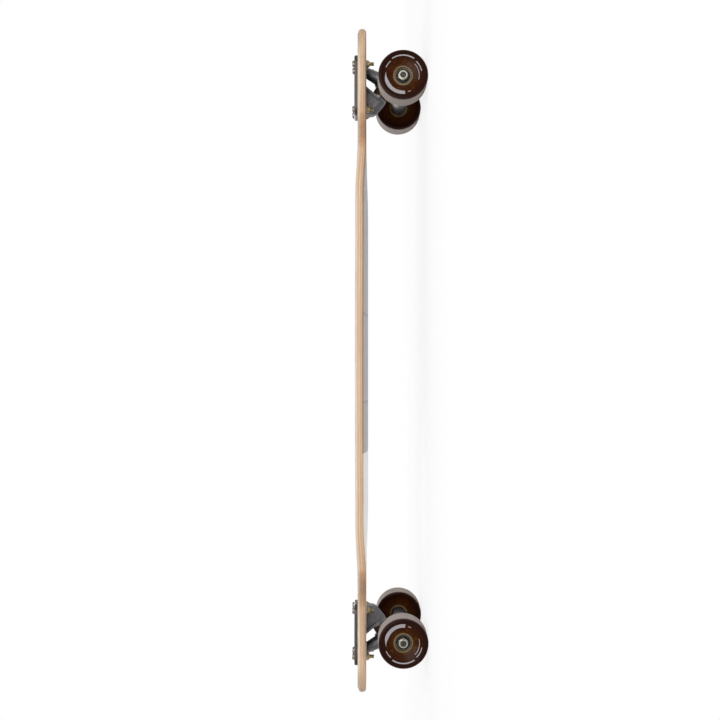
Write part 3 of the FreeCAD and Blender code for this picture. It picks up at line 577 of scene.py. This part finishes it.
brown, tree, shader = surface_finish("wheel_urethane", tint(34, 15, 10), 0.16)
shader.inputs["Specular IOR Level"].default_value = 0.05
shader.inputs["Sheen Weight"].default_value = 0.15
shader.inputs["Sheen Roughness"].default_value = 0.25
shader.inputs["Sheen Tint"].default_value = tint(240, 226, 214)
radius, angle, outwards = about_axle(tree)
swirl = noise(tree, own_place(tree), 75.0, 4.0, 0.6)
wander = calc(tree, "MULTIPLY", calc(tree, "SUBTRACT", swirl, 0.5), swirl_reach)
wavy = calc(tree, "ADD", radius, wander)
body = mix_colour(tree, ramp(tree, wavy, *hub_fade), tint(54, 28, 5), tint(48, 20, 3))
streak = noise(tree, own_place(tree, (1, 0.4, 1)), 150.0, 5.0, 0.65)
glow = calc(tree, "MULTIPLY", ramp(tree, streak, 0.50, 0.70, 0, 0.45), ramp(tree, radius, *glow_fade))
body = mix_colour(tree, glow, body, tint(104, 60, 12))
body = mix_colour(tree, ramp(tree, wavy, *rim_fade), body, tint(33, 12, 5))
# Lips paler towards the tread: scuffs, and a painted highlight on their rounding
lip_scuff_and_highlight = ramp(tree, radius, wheel_radius - lip_pale_reach, wheel_radius - 0.0003, 0, lip_pale_strength)
body = mix_colour(tree, lip_scuff_and_highlight, body, tint(138, 124, 120))

# Print: plain arcs round the outer face, the longest one tapered at its start
ink = 0.0
for first, last, arc_radius, arc_width in print_arcs:
    middle = math.radians((first + last) / 2)
    turn = calc(tree, "SUBTRACT", angle, middle)
    turn = calc(tree, "WRAP", turn, math.pi, -math.pi)
    half_turn = math.radians(last - first) / 2
    taper = ramp(tree, turn, -half_turn, -half_turn / 3, 0.1, 1) if arc_width > tapered_width else 1.0
    off_arc = calc(tree, "ABSOLUTE", calc(tree, "SUBTRACT", radius, arc_radius))
    inside = calc(tree, "SUBTRACT", calc(tree, "MULTIPLY", taper, arc_width / 2), off_arc)
    arc = ramp(tree, inside, -print_edge, print_edge)
    arc = calc(tree, "MULTIPLY", arc, between(tree, turn, -half_turn, half_turn, print_end))
    ink = calc(tree, "MAXIMUM", ink, arc)
ink = calc(tree, "MULTIPLY", ink, ramp(tree, outwards, *print_start))
scuffs = noise(tree, own_place(tree), 800.0, 3.0)
ink = calc(tree, "MULTIPLY", ink, ramp(tree, scuffs, 0.25, 0.45, 0.5, 0.85))
body = mix_colour(tree, ink, body, tint(164, 160, 163))

# Tread: ground pale between the two lips
flat_half = wheel_half_width - lip_radius
at_rim = ramp(tree, radius, wheel_radius - 0.0004, wheel_radius - 0.0001)
off_lips = ramp(tree, calc(tree, "ABSOLUTE", outwards), flat_half + 0.0008, flat_half - 0.0004)
treads = calc(tree, "MULTIPLY", at_rim, off_lips)
grinding = noise(tree, own_place(tree, (1, 8, 1)), 420.0, 3.0)
ground = mix_colour(tree, grinding, tint(172, 163, 158), tint(134, 123, 117))
tree.links.new(mix_colour(tree, treads, body, ground), shader.inputs["Base Color"])
gloss = calc(tree, "ADD", ramp(tree, treads, 0, 1, 0.28, 0.80), ramp(tree, ink, 0, 1, 0, 0.22))
tree.links.new(gloss, shader.inputs["Roughness"])
bump(tree, shader, calc(tree, "MULTIPLY", calc(tree, "ADD", treads, 0.06), grinding), tread_relief)
wear(brown, [corner + "_tyre" for corner in wheel_corners])

# Cores of the wheels, moulded in the same amber brown, a little clearer
core_amber, tree, shader = surface_finish("wheel_core", tint(120, 92, 52), 0.25)
shader.inputs["Specular IOR Level"].default_value = 0.3
swirl = noise(tree, own_place(tree), 160.0, 3.0)
moulded = mix_colour(tree, ramp(tree, swirl, 0.3, 0.7), tint(70, 46, 18), tint(48, 28, 8))
# Painted highlight: a pale ring on the core's end
rim = between(tree, about_axle(tree)[0], *core_ring_highlight, 0.0002)
tree.links.new(mix_colour(tree, rim, moulded, tint(116, 95, 60)), shader.inputs["Base Color"])
bump(tree, shader, swirl, core_relief)
wear(core_amber, [corner + "_core" for corner in wheel_corners])


# Bearings
# Ball bearings of polished steel, two in each wheel, with dark shields and moulded cages.
# A spacer holds them apart.
cage_relief = 0.00004
race_steel = plated_steel("race_steel", tint(92, 84, 68), tint(66, 59, 47), 0.26)
shield_steel = plated_steel("shield_steel", tint(44, 43, 42), tint(30, 29, 29), 0.40)
cage_plastic, tree, shader = surface_finish("cage_plastic", tint(120, 92, 60), 0.45)
moulding = noise(tree, own_place(tree), 1800.0)
cage_colour = mix_colour(tree, moulding, tint(134, 104, 70), tint(104, 78, 50))
tree.links.new(cage_colour, shader.inputs["Base Color"])
bump(tree, shader, moulding, cage_relief)
race_pieces = ("_bearing_outer_rings", "_bearing_inner_rings", "_bearing_balls", "_bearing_spacer")
wear(race_steel, [corner + piece for corner in wheel_corners for piece in race_pieces])
wear(shield_steel, [corner + "_bearing_shields" for corner in wheel_corners])
wear(cage_plastic, [corner + "_bearing_cages" for corner in wheel_corners])


# Floor, light and camera
# A plain pale floor, through which the white surround shows but for a faint shadow, and soft boxes.
# The camera looks at the board's side from the middle of its length, turned so that the nose points up.
def seen_directly(tree):
    """1 for what the camera, a gloss or a clear surface sees, 0 for light that only falls on a piece."""
    rays = add_node(tree, "LightPath").outputs
    seen = calc(tree, "MAXIMUM", rays["Is Camera Ray"], rays["Is Glossy Ray"])
    return calc(tree, "MAXIMUM", seen, rays["Is Transmission Ray"])


board_middle = Vector((0, 0, 0.06))
floor_half = 6.0
shadow_share = 0.2                          # how much of the floor's own shading shows
shadow_reach = (0.55, 1.1)                  # where it fades into the white surround
shadow_stretch = (0.55, 1, 1)               # longer along the board
floor_mesh = bpy.data.meshes.new("floor")
corners = np.array([(-1, -1, 0), (1, -1, 0), (1, 1, 0), (-1, 1, 0)]) * floor_half
floor_mesh.from_pydata(corners.tolist(), [], [(0, 1, 2, 3)])
floor = bpy.data.objects.new("floor", floor_mesh)
bpy.context.scene.collection.objects.link(floor)
floor_white, tree, shader = surface_finish("floor_white", (0.96, 0.96, 0.96, 1), 0.9)
shader.inputs["Specular IOR Level"].default_value = 0.0
see_through = add_node(tree, "BsdfTransparent", (1, 1, 1, 1)).outputs[0]
away = add_node(tree, "VectorMath", own_place(tree, shadow_stretch), operation="LENGTH").outputs["Value"]
open_share = ramp(tree, away, *shadow_reach, 1 - shadow_share, 1)
open_share = calc(tree, "MULTIPLY", open_share, seen_directly(tree))
floor_look = add_node(tree, "MixShader", open_share, shader.outputs[0], see_through).outputs[0]
tree.links.new(floor_look, tree.nodes["Material Output"].inputs["Surface"])
floor_mesh.materials.append(floor_white)

fill_low, fill_high = 0.46, 0.22            # light from the sides and from above
world = bpy.data.worlds.new("studio")
bpy.context.scene.world = world
world.use_nodes = True
tree = world.node_tree
height = add_node(tree, "SeparateXYZ", add_node(tree, "TexCoord").outputs["Generated"]).outputs[2]
fill_light = ramp(tree, height, 0.1, 0.9, fill_low, fill_high)
fill = add_node(tree, "Background", (1, 1, 1, 1), fill_light).outputs[0]
surround = add_node(tree, "Background", (1, 1, 1, 1), 1.0).outputs[0]
studio = add_node(tree, "MixShader", seen_directly(tree), fill, surround).outputs[0]
tree.links.new(studio, tree.nodes["World Output"].inputs["Surface"])


def soft_box(name, place, size, power):
    """Square area lamp that faces the middle of the board."""
    lamp = bpy.data.lights.new(name, "AREA")
    lamp.size = size
    lamp.energy = power
    box = bpy.data.objects.new(name, lamp)
    box.location = place
    box.rotation_mode = "QUATERNION"
    box.rotation_quaternion = (board_middle - Vector(place)).to_track_quat("-Z", "Y")
    box.visible_camera = False
    bpy.context.scene.collection.objects.link(box)


soft_box("camera_side_box", (0.3, -2.4, 0.95), 1.6, 55)
soft_box("far_side_box", (-0.4, 2.3, 1.2), 1.6, 34)
soft_box("overhead_box", (0, 0, 2.4), 2.0, 14)

camera_place = Vector((-0.022, -1.800, 0.0898))
view_middle_x = -0.0006                     # what the camera points at, along the board
lens_length = 63.92                         # in millimetres, as the sensor's width
sensor_width = 36
camera = bpy.data.objects.new("camera", bpy.data.cameras.new("camera"))
camera.data.sensor_width = sensor_width
camera.data.lens = lens_length
image_right = Vector((0, 0, -1))
backwards = Vector((camera_place.x - view_middle_x, camera_place.y, 0)).normalized()
view_turn = Matrix((image_right, backwards.cross(image_right), backwards)).transposed().to_4x4()
camera.matrix_world = Matrix.Translation(camera_place) @ view_turn
bpy.context.scene.collection.objects.link(camera)
bpy.context.scene.camera = camera
bpy.context.scene.view_settings.view_transform = "Standard"
